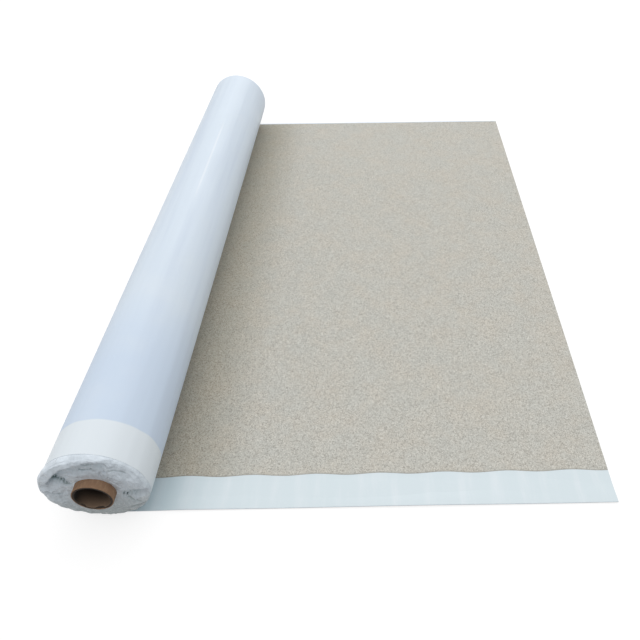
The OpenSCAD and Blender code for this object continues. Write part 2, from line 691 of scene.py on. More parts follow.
@dataclass(frozen=True)
class SandFinish:
    """Matt sand: pale beige-grey grains with a few dark and light ones, and painted shade by the lap strip
    and the roll.

    Attributes:
        sizes: Sizes of the stock.
        body: Colour of most grains.
        warm: Colour of the warmer patches.
        patches: Their pattern.
        dark: Colour of the dark grains.
        clumps: Pattern of the clumps of darker grains.
        grain: Grains per metre.
        dark_grains: Span of the grains' chance values that turn dark, and the share of dark at each end.
        light: Colour of the light grains.
        light_grains: Such a span for them.
        grain_rim: Distance from a grain's middle at which its height is 0, in grains.
        grain_relief: Relief of the grains.
        lumps: Pattern of the sand's lumps.
        lump_relief: Their relief.
        edge: Colour of the painted shadow along the sand's border with the lap strip.
        border_shade_width: Width of that painted shadow.
        border_shade_share: Share of its colour by the strip.
        painted_shade_by_roll: Painted shade on the sand next to the roll.
    """

    sizes: StockSizes
    body: Colour = linear(195, 195, 188)
    warm: Colour = linear(200, 195, 184)
    patches: Cloud = Cloud((9, 9, 9), detail=6, keep=0.7, low=0.35)
    dark: Colour = linear(148, 144, 136)
    clumps: Cloud = Cloud((230, 230, 230), low=0.45, share=0.4)
    grain: float = 480.0
    dark_grains: tuple[float, ...] = (0.62, 0.98, 0.0, 0.75)
    light: Colour = linear(222, 220, 212)
    light_grains: tuple[float, ...] = (0.66, 0.98, 0.0, 0.7)
    grain_rim: float = 0.7
    grain_relief: Relief = Relief(0.5 * MM, 0.6)
    lumps: Cloud = Cloud((160, 160, 160), detail=3)
    lump_relief: Relief = Relief(0.8 * MM, 0.5)
    edge: Colour = linear(158, 156, 150)
    border_shade_width: float = 5 * MM
    border_shade_share: float = 0.7
    painted_shade_by_roll: PaintedRollShade = PaintedRollShade((0.76, 0.735, 0.68, 1.0), 120 * MM, 330 * MM)

    def material(self) -> bpy.types.Material:
        """Builds the material.

        Returns:
            The material.
        """
        board, sizes = NodeBoard.material("sand"), self.sizes
        patchy = board.blend(board.shown(self.patches), self.body, self.warm)
        clumped = board.blend(board.shown(self.clumps), patchy, self.dark)
        grains = board.add("ShaderNodeTexVoronoi", {"Vector": board.place, "Scale": self.grain}).outputs
        chance = board.axes(grains["Color"])
        dark = board.blend(board.span(chance["X"], *self.dark_grains), clumped, self.dark)
        grainy = board.blend(board.span(chance["Y"], *self.light_grains), dark, self.light)
        # Painted shadow along the sand's border with the lap strip.
        x, y, _ = board.axes(board.place)
        turn = board.sum("MULTIPLY", board.sum("SUBTRACT", x, sizes.axis_x), math.tau / sizes.wave_length)
        wave = board.sum("MULTIPLY", board.sum("COSINE", turn), sizes.wave_height)
        inside = board.sum("SUBTRACT", board.sum("SUBTRACT", y, sizes.near_y + sizes.lap), wave)
        painted_shade_by_strip = board.span(inside, 0.0, self.border_shade_width, self.border_shade_share, 0.0)
        # Painted shade of the roll darkens the sand next to it.
        colour = self.painted_shade_by_roll.over(board, board.blend(painted_shade_by_strip, grainy, self.edge), sizes.axis_x)
        height = board.span(grains["Distance"], 0.0, self.grain_rim, 1.0, 0.0)
        lumpy = board.bump(board.cloud(self.lumps), self.lump_relief)
        return board.finish(Base_Color=colour, Roughness=0.95, IOR=1.4,
                            Normal=board.bump(height, self.grain_relief, lumpy))


@dataclass(frozen=True)
class LapFinish:
    """Pale release film over the lap strip, smooth, with faint marks across it and painted shade by the roll.

    Attributes:
        sizes: Sizes of the stock.
        body: Main colour.
        mark: Colour of the faint marks.
        marks: Their pattern.
        painted_shade_by_roll: Painted shade on the strip next to the roll.
        roughness: Lowest and highest roughness.
        ripples: Pattern of the film's ripples.
        ripple_relief: Their relief.
    """

    sizes: StockSizes
    body: Colour = linear(214, 226, 231)
    mark: Colour = linear(222, 231, 236)
    marks: Cloud = Cloud((26, 3, 1), detail=5, keep=0.62, low=0.45, high=0.75)
    painted_shade_by_roll: PaintedRollShade = PaintedRollShade((0.78, 0.82, 0.83, 1.0), 60 * MM, 260 * MM)
    roughness: tuple[float, float] = (0.3, 0.42)
    ripples: Cloud = Cloud((45, 20, 1), detail=3)
    ripple_relief: Relief = Relief(0.5 * MM, 0.3)

    def material(self) -> bpy.types.Material:
        """Builds the material.

        Returns:
            The material.
        """
        board = NodeBoard.material("lap_film")
        marked = board.blend(board.shown(self.marks), self.body, self.mark)
        # Painted shade of the roll darkens the strip next to it.
        colour = self.painted_shade_by_roll.over(board, marked, self.sizes.axis_x)
        return board.finish(Base_Color=colour, Roughness=board.spread(self.marks, *self.roughness), IOR=1.5,
                            Normal=board.bump(board.cloud(self.ripples), self.ripple_relief))


@dataclass(frozen=True)
class EndFilmFinish:
    """Thin crumpled film, white with a grey-blue cast, with painted shade in its hollows, along its foot and
    in its folds.

    Attributes:
        sizes: Sizes of the stock.
        body: Main colour.
        grey: Colour where layers lie apart.
        layers: Pattern of those layers.
        painted_hollow_shade: Painted shade of the film that lies deep behind its lip.
        hollow_shade_top: How far the film stands out of the roll where that painted shade ends.
        hollow_shade_foot: How far it stands out where the painted shade is full.
        lip: Width of the rim that keeps its colour.
        painted_foot_shade: Colour of the painted shade along the film's foot.
        foot_shade_top: Height above the floor at which that painted shade ends.
        foot_shade_share: Share of its colour on the floor.
        painted_crease_shade: Painted shade in the valleys of the folds, a colour that the film's colour is
            multiplied by.
        crease_shade_full: Depth of a valley, in millimetres, at which that painted shade is full.
        sheen: Pattern of the film's roughness.
        roughness: Lowest and highest roughness.
        folds: Pattern of the sharp little folds all over the film.
        fold_relief: Their relief.
    """

    sizes: StockSizes
    body: Colour = linear(221, 231, 240)
    grey: Colour = linear(197, 207, 216)
    layers: Cloud = Cloud((38, 38, 38), detail=4, keep=0.6, low=0.42, high=0.8)
    painted_hollow_shade: Colour = (0.78, 0.83, 0.82, 1.0)
    hollow_shade_top: float = 15 * MM
    hollow_shade_foot: float = 3 * MM
    lip: float = 14 * MM
    painted_foot_shade: Colour = linear(182, 190, 189)
    foot_shade_top: float = 130 * MM
    foot_shade_share: float = 0.8
    painted_crease_shade: Colour = (0.36, 0.41, 0.37, 1.0)
    crease_shade_full: float = 6.0
    sheen: Cloud = Cloud((110, 110, 110), detail=3, keep=0.55)
    roughness: tuple[float, float] = (0.22, 0.42)
    folds: Cloud = Cloud((45, 45, 45))
    fold_relief: Relief = Relief(12 * MM, 0.5)

    def material(self) -> bpy.types.Material:
        """Builds the material.

        Returns:
            The material.
        """
        board, sizes = NodeBoard.material("end_film"), self.sizes
        radius = sizes.roll_radius
        clean = board.blend(board.shown(self.layers), self.body, self.grey)
        x, y, z = board.axes(board.mapped((1, 1, 1), (-sizes.axis_x, -sizes.near_y, -radius)))
        # Painted shade where the film lies deep behind its lip.
        behind_lip = board.span(board.radius(x, z), radius - 2 * self.lip, radius - self.lip, 1.0, 0.0)
        deep = board.sum("MULTIPLY", behind_lip, board.span(y, -self.hollow_shade_top, -self.hollow_shade_foot))
        shaded = board.blend(deep, clean, self.painted_hollow_shade, "MULTIPLY")
        # Painted shade along the film's foot, darkest by the floor.
        foot = board.span(z, -radius, self.foot_shade_top - radius, self.foot_shade_share, 0.0)
        foot_shaded = board.blend(foot, shaded, self.painted_foot_shade)
        # Painted shade in the valleys of the folds, from the depth that each point carries.
        valleys = board.add("ShaderNodeAttribute", {}, attribute_name=VALLEYS).outputs["Fac"]
        colour = board.blend(board.span(valleys, 0.0, self.crease_shade_full), foot_shaded, self.painted_crease_shade, "MULTIPLY")
        ridges = board.sum("ABSOLUTE", board.sum("SUBTRACT", board.cloud(self.folds), NOISE_MIDDLE))
        return board.finish(Base_Color=colour, Roughness=board.spread(self.sheen, *self.roughness), IOR=1.5,
                            Normal=board.bump(ridges, self.fold_relief))


@dataclass(frozen=True)
class BoardFinish:
    """Spirally wound cardboard, with plies on its cut ends, a seam round the outside, and painted shade on
    the ends and in the bore, with painted light by the mouth.

    Attributes:
        sizes: Sizes of the stock.
        paper: Main colour.
        pale: Colour of pale fibres.
        fibres: Pattern of the fibres.
        fibre_relief: Their relief.
        seam: Colour of the seam between two windings.
        winding: Length along the core of one winding of paper.
        seam_width: Share of a winding that the seam takes.
        seam_share: Share of the seam's colour.
        cut: Colour of the cut ends, the board's darker cut face deepened as painted shade.
        ply: Thickness of one ply.
        ply_line: Half the width of the line between two plies.
        ply_share: Share of the seam's colour on that line.
        skin: Thickness of the outer plies, which keep the paper's colour at the cut ends.
        painted_bore_shade: Colour inside the bore, the paper darkened nearly to black as painted shade.
        painted_mouth_light: Paler colour along the bottom of the bore by the mouth, a painted pool of light.
        mouth_light_reach: How far in from the mouth that painted light reaches.
        fade: Width over which the wall's colours turn into each other.
    """

    sizes: StockSizes
    paper: Colour = linear(148, 116, 91)
    pale: Colour = linear(168, 136, 108)
    fibres: Cloud = Cloud((220, 60, 220), detail=5, keep=0.65, low=0.4, high=0.75)
    fibre_relief: Relief = Relief(0.3 * MM, 0.5)
    seam: Colour = linear(98, 76, 58)
    winding: float = 110 * MM
    seam_width: float = 0.012
    seam_share: float = 0.8
    cut: Colour = linear(44, 36, 30)
    ply: float = 0.8 * MM
    ply_line: float = 0.15 * MM
    ply_share: float = 0.6
    skin: float = 2.0 * MM
    painted_bore_shade: Colour = linear(19, 15, 12)
    painted_mouth_light: Colour = linear(136, 114, 95)
    mouth_light_reach: float = 50 * MM
    fade: float = 0.2 * MM

    def material(self) -> bpy.types.Material:
        """Builds the material.

        Returns:
            The material.
        """
        board, sizes = NodeBoard.material("cardboard"), self.sizes
        x, y, z = board.axes(board.mapped((1, 1, 1), (-sizes.axis_x, 0, -sizes.roll_radius)))
        paper = board.blend(board.shown(self.fibres), self.paper, self.pale)
        turn = board.sum("DIVIDE", board.sum("ARCTAN2", z, x), math.tau)
        helix = board.sum("FRACT", board.sum("ADD", board.sum("DIVIDE", y, self.winding), turn))
        wound = board.blend(board.span(helix, 0.0, self.seam_width, self.seam_share, 0.0), paper, self.seam)
        radius = board.radius(x, z)
        plies = board.sum("PINGPONG", radius, self.ply / 2)
        # The cut ends' dark colour is partly painted shade.
        cut = board.blend(board.span(plies, 0.0, self.ply_line, self.ply_share, 0.0), self.cut, self.seam)
        skin = sizes.core_radius - self.skin
        faced = board.blend(board.span(radius, skin, skin + self.fade), cut, wound)
        # Painted shade inside the bore, with painted light along its bottom by the mouth.
        bore = sizes.bore_radius
        depth = board.sum("SUBTRACT", sizes.core_far, board.sum("ABSOLUTE", y))
        mouth_lit = board.sum("MULTIPLY", board.span(z, -bore, 0.0, 1.0, 0.0),
                          board.span(depth, 0.0, self.mouth_light_reach, 1.0, 0.0))
        bore_shaded = board.blend(mouth_lit, self.painted_bore_shade, self.painted_mouth_light)
        colour = board.blend(board.span(radius, bore + self.fade, bore + 2 * self.fade), bore_shaded, faced)
        return board.finish(Base_Color=colour, Roughness=0.85, IOR=1.45,
                            Normal=board.bump(board.cloud(self.fibres), self.fibre_relief))


@dataclass(frozen=True)
class FloorFinish:
    """Plain pale floor, which the camera sees as near white outside the shadows.

    Attributes:
        body: Colour of the floor.
        glow: Colour of the light that takes the floor up to white.
        lift: Strength of that light, which falls on nothing else.
        clouds: Pattern of its roughness.
        roughness: Lowest and highest roughness.
    """

    body: Colour = (0.32, 0.32, 0.32, 1.0)
    glow: Colour = (1.0, 1.0, 1.0, 1.0)
    lift: float = 0.74
    clouds: Cloud = Cloud((0.7, 0.7, 0.7))
    roughness: tuple[float, float] = (0.85, 0.95)

    def material(self) -> bpy.types.Material:
        """Builds the material.

        Returns:
            The material.
        """
        board = NodeBoard.material("floor")
        return board.finish(Base_Color=self.body, Roughness=board.spread(self.clouds, *self.roughness),
                            Specular_IOR_Level=0.1, Emission_Color=self.glow,
                            Emission_Strength=board.sum("MULTIPLY", board.seen(), self.lift))


@dataclass
class Winding:
    """The spiral that the stock is wound in: half circles about two centres, half a pitch apart.

    Attributes:
        sizes: Sizes of the stock.
        fine_steps: Steps of a half turn on the outermost turn.
        plain_steps: Steps of a half turn on the others.
    """

    sizes: StockSizes
    fine_steps: int = 96
    plain_steps: int = 32

    def start(self, x: float, low: Vector, high: Vector) -> Piece:
        """Adds the stock's cross-section, a thin upright face.

        Args:
            x: Where the cross-section stands.
            low: Its lowest y and z.
            high: Its highest y and z.

        Returns:
            The new piece.
        """
        deselect_all()
        bpy.ops.mesh.primitive_plane_add(size=1.0)
        piece = bpy.context.object
        middle, size = (low + high) / 2, high - low
        with editing(piece):
            bpy.ops.mesh.select_all(action="SELECT")
            bpy.ops.transform.resize(value=(size.y, size.x, 1.0))
            bpy.ops.transform.rotate(value=math.pi / 2, orient_axis="Y", center_override=(0, 0, 0))
            bpy.ops.transform.translate(value=(x, middle.x, middle.y))
        return piece

    def wind(self, turns: int, fine: bool) -> None:
        """Spins the selected end face on round the core, in edit mode.

        Args:
            turns: Whole turns to wind.
            fine: Whether the outermost turn gets the fine steps.
        """
        radius = self.sizes.roll_radius
        for turn in range(turns):
            steps = self.fine_steps if fine and turn == 0 else self.plain_steps
            for centre_z in (radius, radius + self.sizes.pitch / 2):
                bpy.ops.mesh.spin(steps=steps, angle=-math.pi, center=(self.sizes.axis_x, 0, centre_z),
                                  axis=(0, 1, 0))

    def on_last_turn(self, point: Vector, depth: float) -> bool:
        """Tells whether a point is on the outermost turn or the laid sheet.

        Args:
            point: The point.
            depth: Thickness of stock to count, from the outside in.

        Returns:
            True if it is.
        """
        sizes = self.sizes
        right = point.x > sizes.axis_x + sizes.slack
        if right and point.z < depth + sizes.slack:
            return True
        rise = sizes.pitch / 2 if right else 0.0
        away = math.hypot(point.x - sizes.axis_x, point.z - (sizes.roll_radius + rise))
        return sizes.roll_radius - rise - away < depth + sizes.slack


@dataclass
class WoundSheet:
    """The carrier film: every turn of the roll, and the length that is rolled out flat.

    Attributes:
        sizes: Sizes of the stock.
        winding: Its spiral.
        turns: Whole turns on the core.
        laid_steps: Steps along the laid sheet.
        cuts: Cuts across the last turn and the laid sheet.
        ragged: How far a turn's edge stands in or out at the ends of the roll.
        ragged_waves: Waves of that edge to a metre.
        swell: How far the last turn swells off the one below it.
        swell_foot: Share of the roll's height at which the swell starts.
        swell_full: Share of the height at which it is full.
        ripples: Pace of the swell's ripples round the roll, and to a metre along it.
        fine_pace: How many times finer its finer ripples are.
        fine_share: Their height, as a share of the swell.
    """

    sizes: StockSizes
    winding: Winding
    turns: int = 37
    laid_steps: int = 40
    cuts: int = 95
    ragged: float = 0.7 * MM
    ragged_waves: float = 60.0
    swell: float = 0.9 * MM
    swell_foot: float = 0.06
    swell_full: float = 0.3
    ripples: tuple[float, float] = (5.5, 0.9)
    fine_pace: float = 2.7
    fine_share: float = 0.25

    def build(self) -> Piece:
        """Winds the film and roughens its last turn and its edges.

        Returns:
            The film, as one closed sheet.
        """
        sizes = self.sizes
        low, high = Vector((sizes.near_y, 0.0)), Vector((sizes.far_y, sizes.film))
        piece = self.winding.start(sizes.cut_x, low, high)
        step = sizes.laid / self.laid_steps
        with editing(piece):
            bpy.ops.mesh.select_all(action="SELECT")
            for _ in range(self.laid_steps):
                bpy.ops.mesh.extrude_region_move(TRANSFORM_OT_translate={"value": (-step, 0, 0)})
            self.winding.wind(self.turns, fine=True)
            face_outwards()
            mesh = bmesh.from_edit_mesh(piece.data)
            self.roughen_edges(mesh)
            self.select_last_turn(mesh)
            bpy.ops.mesh.subdivide(number_cuts=self.cuts)
            mesh = bmesh.from_edit_mesh(piece.data)
            self.lift_near_edge(mesh)
            self.swell_last_turn(mesh)
            bmesh.update_edit_mesh(piece.data)
        return piece

    def roughen_edges(self, mesh: bmesh.types.BMesh) -> None:
        """Moves the edges of the inner turns in and out a little at both ends of the roll.

        Args:
            mesh: The film's open mesh.
        """
        for vert in mesh.verts:
            if not self.winding.on_last_turn(vert.co, self.sizes.film):
                spot = Vector((vert.co.x, vert.co.z, vert.co.y)) * self.ragged_waves
                vert.co.y += self.ragged * noise.noise(spot)

    def select_last_turn(self, mesh: bmesh.types.BMesh) -> None:
        """Selects the long edges of the last turn and the laid sheet.

        Args:
            mesh: The film's open mesh.
        """
        bpy.ops.mesh.select_all(action="DESELECT")
        bpy.ops.mesh.select_mode(type="EDGE")
        for edge in mesh.edges:
            first, second = edge.verts
            long = abs(first.co.y - second.co.y) > self.sizes.width / 2
            edge.select_set(long and self.winding.on_last_turn(first.co, self.sizes.film))
        mesh.select_flush_mode()

    def lift_near_edge(self, mesh: bmesh.types.BMesh) -> None:
        """Lifts the laid sheet's near edge a little off the floor.

        Args:
            mesh: The film's open mesh.
        """
        sizes = self.sizes
        for vert in mesh.verts:
            if vert.co.x > sizes.axis_x and vert.co.z < sizes.film + sizes.slack:
                vert.co.z += sizes.lift(vert.co.x, vert.co.y)

    def swell_last_turn(self, mesh: bmesh.types.BMesh) -> None:
        """Swells the last turn off the roll in long, shallow ripples.

        Args:
            mesh: The film's open mesh.
        """
        sizes = self.sizes
        axis = Vector((sizes.axis_x, 0.0, sizes.roll_radius))
        around, along = self.ripples
        for vert in mesh.verts:
            height = vert.co.z / (2 * sizes.roll_radius)
            if height < self.swell_foot or not self.winding.on_last_turn(vert.co, sizes.film):
                continue
            way = (Vector((vert.co.x, 0.0, vert.co.z)) - axis).normalized()
            spot = Vector((way.x * around, vert.co.y * along, way.z * around))
            ripple = (1 + noise.noise(spot)) / 2 + self.fine_share * noise.noise(spot * self.fine_pace)
            vert.co += way * self.swell * ripple * smooth_step(height, self.swell_foot, self.swell_full)

    def make(self) -> None:
        """Builds and dresses the film."""
        piece = dress(self.build(), "membrane_sheet", FilmFinish(self.sizes).material(), crease=40)
        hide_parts("membrane")


@dataclass
class LaidCover(ABC):
    """A thin cover bonded to the laid sheet, between two lines along it.

    Attributes:
        sizes: Sizes of the stock.
        thickness: Thickness of the cover.
        along: Faces along the sheet.
        across: Faces across the cover.
    """

    sizes: StockSizes
    thickness: float
    along: int
    across: int

    @abstractmethod
    def near_line(self, x: float) -> float:
        """Finds the cover's near edge at x."""

    @abstractmethod
    def far_line(self, x: float) -> float:
        """Finds the cover's far edge at x."""

    @abstractmethod
    def relief(self, x: float, y: float) -> float:
        """Finds how far the cover stands above its plain thickness at a point."""

    def top_face(self, start_x: float) -> Piece:
        """Makes the cover's upper face.

        Args:
            start_x: Where the face starts, towards the roll.

        Returns:
            The face, as an open sheet of small faces.
        """
        sizes = self.sizes
        piece = add_grid(self.along, self.across)
        with editing(piece) as mesh:
            for vert in mesh.verts:
                along, across = grid_shares(vert)
                x = start_x + along * (sizes.cut_x - start_x)
                near, far = self.near_line(x), self.far_line(x)
                y = near + across * (far - near)
                height = sizes.film + self.thickness + self.relief(x, y)
                vert.co = Vector((x, y, height + sizes.lift(x, y)))
            bmesh.update_edit_mesh(piece.data)
        return piece

    def closed(self) -> Piece:
        """Makes the whole cover, closed down to the film that it is bonded to.

        Returns:
            The cover.
        """
        piece = self.top_face(self.sizes.axis_x)
        with editing(piece) as mesh:
            bpy.ops.mesh.select_all(action="DESELECT")
            bpy.ops.mesh.select_mode(type="EDGE")
            for edge in mesh.edges:
                edge.select_set(edge.is_boundary)
            bpy.ops.mesh.extrude_edges_move(TRANSFORM_OT_translate={"value": (0, 0, -self.thickness)})
            mesh = bmesh.from_edit_mesh(piece.data)
            for vert in mesh.verts:
                if vert.select:
                    vert.co.z = self.sizes.film + self.sizes.lift(vert.co.x, vert.co.y)
            bpy.ops.mesh.edge_face_add()
            face_outwards()
        return piece


@dataclass
class SandCoat(LaidCover):
    """The sand: its bed on the laid sheet, its coarse grains, and what is wound up between the turns.

    Attributes:
        winding: The stock's spiral.
        turns: Whole turns of sand on the core.
        lump: Height of the bed's lumps.
        lumps: Lumps to a metre.
        grain_size: Radius of a coarse grain.
        grain_sides: Sides of a coarse grain.
        grain_rings: Rings of its faces.
        grain_least: Least stretch of a grain along its axes.
        grain_most: Greatest stretch.
        grain_gap: Least distance between coarse grains.
        grain_density: Coarse grains to a square metre, before the gap thins them.
        nip: Length by the roll that is kept free of coarse grains.
        seed: Seed of the scatter.
    """

    winding: Winding
    turns: int = 36
    lump: float = 0.12 * MM
    lumps: float = 90.0
    grain_size: float = 0.75 * MM
    grain_sides: int = 4
    grain_rings: int = 2
    grain_least: Place = (0.6, 0.6, 0.5)
    grain_most: Place = (1.3, 1.3, 0.9)
    grain_gap: float = 5.0 * MM
    grain_density: float = 11000.0
    nip: float = 22 * MM
    seed: int = 7

    def near_line(self, x: float) -> float:
        """Finds the sand's near edge, along the lap strip."""
        return self.sizes.border(x)

    def far_line(self, x: float) -> float:
        """Finds the sand's far edge, by the bare margin."""
        return self.sizes.sand_far

    def relief(self, x: float, y: float) -> float:
        """Finds the height of the bed's lumps, which are flat under the roll."""
        clear = smooth_step(x, self.sizes.axis_x + self.nip / 2, self.sizes.axis_x + self.nip)
        return self.lump * clear * noise.noise(Vector((x, y, 0.0)) * self.lumps)

    def grain_nodes(self) -> bpy.types.NodeTree:
        """Lays out the nodes that scatter coarse grains over a face.

        Returns:
            The tree of those nodes.
        """
        tree = bpy.data.node_groups.new("sand_grains", "GeometryNodeTree")
        for way in ("INPUT", "OUTPUT"):
            tree.interface.new_socket("Geometry", in_out=way, socket_type="NodeSocketGeometry")
        tray = NodeTray(tree)
        bed = tray.add("NodeGroupInput", {})
        scatter = tray.add("GeometryNodeDistributePointsOnFaces", {
            "Mesh": bed.outputs[0], "Distance Min": self.grain_gap, "Density Max": self.grain_density,
            "Seed": self.seed}, distribute_method="POISSON")
        grain = tray.add("GeometryNodeMeshUVSphere", {
            "Segments": self.grain_sides, "Rings": self.grain_rings, "Radius": self.grain_size})
        turn = tray.add("FunctionNodeRandomValue", {
            "Max": (math.tau, math.tau, math.tau), "Seed": self.seed}, data_type="FLOAT_VECTOR")
        stretch = tray.add("FunctionNodeRandomValue", {
            "Min": self.grain_least, "Max": self.grain_most, "Seed": self.seed + 1}, data_type="FLOAT_VECTOR")
        grains = tray.add("GeometryNodeInstanceOnPoints", {
            "Points": scatter.outputs["Points"], "Instance": grain.outputs["Mesh"],
            "Rotation": turn.outputs["Value"], "Scale": stretch.outputs["Value"]})
        solid = tray.add("GeometryNodeRealizeInstances", {"Geometry": grains.outputs["Instances"]})
        tray.add("NodeGroupOutput", {0: solid.outputs["Geometry"]})
        return tree

    def build_grains(self) -> Piece:
        """Scatters the coarse grains that stand out of the bed.

        Returns:
            The grains, as one piece.
        """
        piece = self.top_face(self.sizes.axis_x + self.nip)
        apply_modifier(piece, "NODES", node_group=self.grain_nodes())
        return piece

    def build_between_turns(self) -> Piece:
        """Winds up the sand that lies between the turns of the film.

        Returns:
            The wound sand.
        """
        sizes = self.sizes
        low = Vector((sizes.near_y + sizes.lap, sizes.film))
        high = Vector((sizes.sand_far, sizes.film + sizes.sand))
        piece = self.winding.start(sizes.axis_x, low, high)
        with editing(piece):
            bpy.ops.mesh.select_all(action="SELECT")
            self.winding.wind(self.turns, fine=False)
            face_outwards()
        return piece

    def make(self) -> None:
        """Builds and dresses the sand."""
        material = SandFinish(self.sizes).material()
        bed = dress(self.closed(), "sand_bed", material, crease=60)
        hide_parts("sand_coat")
        dress(self.build_grains(), "sand_grains", material, crease=20)
        dress(self.build_between_turns(), "sand_between_turns", material, crease=40)


@dataclass
class LapStrip(LaidCover):
    """Release film over the bare adhesive along the near edge.

    Attributes:
        ripple: Height of its faint ripples.
        ripples: Ripples to a metre, along it and across.
        inset: How far its edge stays inside the sheet's edge.
    """

    ripple: float = 0.15 * MM
    ripples: tuple[float, float] = (28.0, 12.0)
    inset: float = 0.3 * MM

    def near_line(self, x: float) -> float:
        """Finds the strip's near edge, just inside the sheet's edge."""
        return self.sizes.near_y + self.inset

    def far_line(self, x: float) -> float:
        """Finds the strip's far edge, where the sand starts."""
        return self.sizes.border(x)

    def relief(self, x: float, y: float) -> float:
        """Finds the height of the strip's faint ripples."""
        along, across = self.ripples
        return self.ripple * noise.noise(Vector((x * along, y * across, 0.0)))

    def make(self) -> None:
        """Builds and dresses the strip."""
        piece = dress(self.closed(), "lap_film_sheet", LapFinish(self.sizes).material(), crease=60)
        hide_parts("lap_film")


@dataclass(frozen=True)
class FilmStation:
    """The end film's section at one angle round the core.

    Attributes:
        angle: Angle from +X towards +Z, in degrees.
        points: Shares of the way in from the rim to the core, and how far the film stands out there
            in millimetres.
        foot: Such a point on the rim, where every section starts.
    """

    angle: float
    points: tuple[Spot, ...]
    foot: Spot = (0.0, 0.1)

    def at(self, share: float) -> Vector:
        """Finds the point at a share of the way along the section."""
        return curve_point((self.foot, *self.points), share)


@dataclass(frozen=True)
class Pleats:
    """A row of short pleats along the line where the upper and the lower flap meet.

    Attributes:
        angle: Angle of the row, in degrees.
        inner: Radius at which the row ends by the core.
        outer: Radius at which it ends by the rim.
        pitch: Distance from one pleat to the next.
        reach: Half the length of a pleat.
        depth: Depth of a pleat, in millimetres.
        drawn_out: Pace of the row's chance changes across it, as a share of the pace along it.
        bend_pace: Pace of the row's bends.
        stray: How far a pleat strays from its place, as a share of the pitch.
        stray_pace: Pace of that.
        depth_mean: Mean share of the depth.
        depth_pace: Pace of the changes in depth.
        depth_start: Where their noise starts.
    """

    angle: float
    inner: float
    outer: float
    pitch: float
    reach: float
    depth: float
    drawn_out: float = 0.4
    bend_pace: float = 0.7
    stray: float = 0.6
    stray_pace: float = 0.8
    depth_mean: float = 0.6
    depth_pace: float = 1.3
    depth_start: Place = (5.2, 1.9, 0.0)

    def height(self, angle: float, radius: float) -> float:
        """Finds the height of the pleats at a point of the roll's end, in millimetres.

        Args:
            angle: Angle round the core.
            radius: Distance from the core's axis.

        Returns:
            The height, which is below 0 in the valleys.
        """
        off = angle - math.radians(self.angle)
        along, across = radius * math.cos(off), radius * math.sin(off)
        inside = smooth_step(along, self.inner, self.inner + self.pitch)
        inside *= 1 - smooth_step(along, self.outer - self.pitch, self.outer)
        spot = Vector((along, across * self.drawn_out, self.angle)) / self.pitch
        across += self.reach * noise.noise(spot * self.bend_pace)
        turn = along / self.pitch + self.stray * noise.noise(spot * self.stray_pace)
        chance = noise.noise(spot * self.depth_pace + Vector(self.depth_start))
        valley = ((1 - math.cos(math.tau * turn)) / 2) ** 2
        deep = self.depth * self.depth_mean * (1 + chance)
        return -deep * inside * math.exp(-(across / self.reach) ** 2) * valley


@dataclass(frozen=True)
class Crease:
    """A fold of the end film along a line across the roll's end.

    Attributes:
        line: Points of the line, in millimetres right of and above the core's axis.
        height: Height of the fold in millimetres, below 0 for a valley.
        upper: Width of its side above or left of the line, in millimetres.
        lower: Width of its other side.
        sharpness: Power of the fold's slope, higher for a sharper fold.
    """

    line: tuple[Spot, ...]
    height: float
    upper: float
    lower: float
    sharpness: float = 1.5

    def rise(self, spot: Vector) -> float:
        """Finds the height of the fold at a point of the roll's end, in millimetres.

        Args:
            spot: The point, in millimetres right of and above the core's axis.

        Returns:
            The height, which is sharp along the line and eases off to 0 on both sides.
        """
        best = 0.0
        for first, second in zip(self.line, self.line[1:]):
            start, way = Vector(first), Vector(second) - Vector(first)
            along = min(1.0, max(0.0, (spot - start).dot(way) / way.length_squared))
            off = spot - start - way * along
            width = self.upper if way.x * off.y - way.y * off.x > 0 else self.lower
            best = max(best, 1 - off.length / width)
        return self.height * best ** self.sharpness


@dataclass(frozen=True)
class Crumple:
    """Lumps or sharp folds all over the end film, by chance.

    Attributes:
        height: Their height, in millimetres.
        around: Their pace round the core.
        inward: Their pace from the rim in to the core.
        start: Where their noise starts.
        sharp: Whether they are folds with a sharp crest.
        crest: Height of that crest, in noise.
    """

    height: float
    around: float
    inward: float
    start: float = 0.0
    sharp: bool = True
    crest: float = 0.35

    def rise(self, angle: float, share: float) -> float:
        """Finds their height at a point of the film, in millimetres.

        Args:
            angle: Angle round the core.
            share: How far along the film, from the rim to the core.

        Returns:
            The height, about 0.
        """
        spot = Vector((math.cos(angle) * self.around, math.sin(angle) * self.around,
                       share * self.inward + self.start))
        chance = noise.noise(spot)
        return self.height * (self.crest - abs(chance) if self.sharp else chance)


